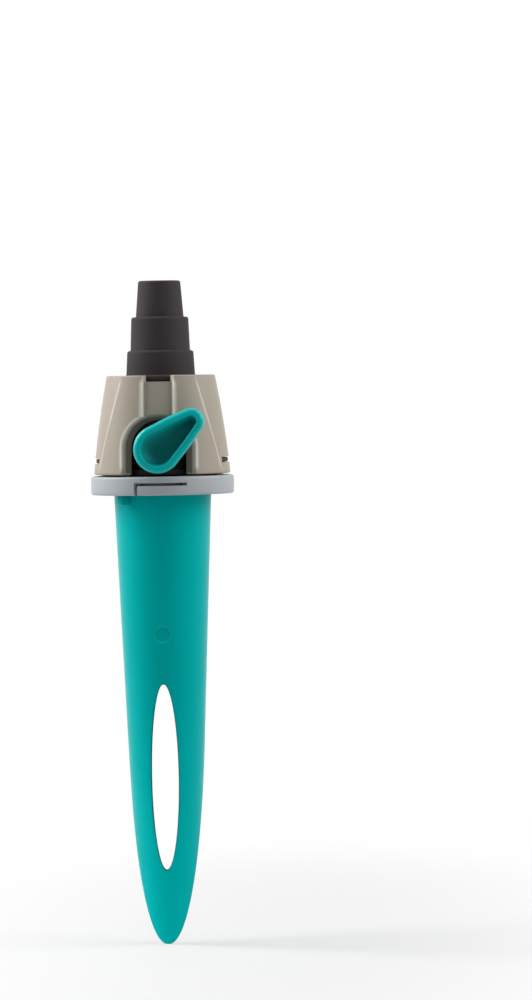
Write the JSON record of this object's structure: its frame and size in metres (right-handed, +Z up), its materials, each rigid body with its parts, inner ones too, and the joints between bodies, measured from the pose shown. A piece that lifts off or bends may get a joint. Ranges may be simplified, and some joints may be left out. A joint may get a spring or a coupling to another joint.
{
  "type": "drip plant waterer",
  "caption": "Plant waterer: hollow slotted scoop spike, twist-lock soil ring with pot clip, and a bell-shaped head with a turning drip tap under a stepped rubber bottle plug.",
  "frame": {"origin": "on the axis of the spike at the soil line, the underside of the soil ring", "axes": "+Z up along the spike's axis, towards the bottle; -Y the front, where the tap faces; +X to the right as seen from the front"},
  "size_m": [0.0524, 0.0586, 0.2421],
  "materials": {
    "teal": "smooth moulded, satin gloss",
    "taupe": "smooth moulded, satin",
    "grey": "smooth moulded, satin",
    "charcoal": "fine matt",
    "rubber": "matt",
    "white": "smooth",
    "steel": "bright"
  },
  "bodies": {
    "spike": {"spike": "teal"},
    "head": {"soil_ring": "grey", "head_cover": "taupe", "valve_body": "charcoal", "inlet_spigot": "charcoal", "spigot_seal": "rubber", "inlet_strainer": "white", "bottle_adapter": "rubber", "drip_nozzle": "white", "thrust_washer": "white"},
    "tap": {"tap_knob": "teal", "tap_spindle": "white", "spindle_seal_front": "rubber", "spindle_seal_rear": "rubber", "spindle_clip": "steel"}
  },
  "joints": [
    {"name": "head_twist", "type": "hinge", "parent": "spike", "child": "head", "pos_m": [0, 0, 0], "axis": [0, 0, 1], "range_deg": [-38, 0]},
    {"name": "tap_turn", "type": "hinge", "parent": "head", "child": "tap", "pos_m": [0, -0.02, 0.0168], "axis": [0, -1, 0], "range_deg": [-39, 141]}
  ]
}
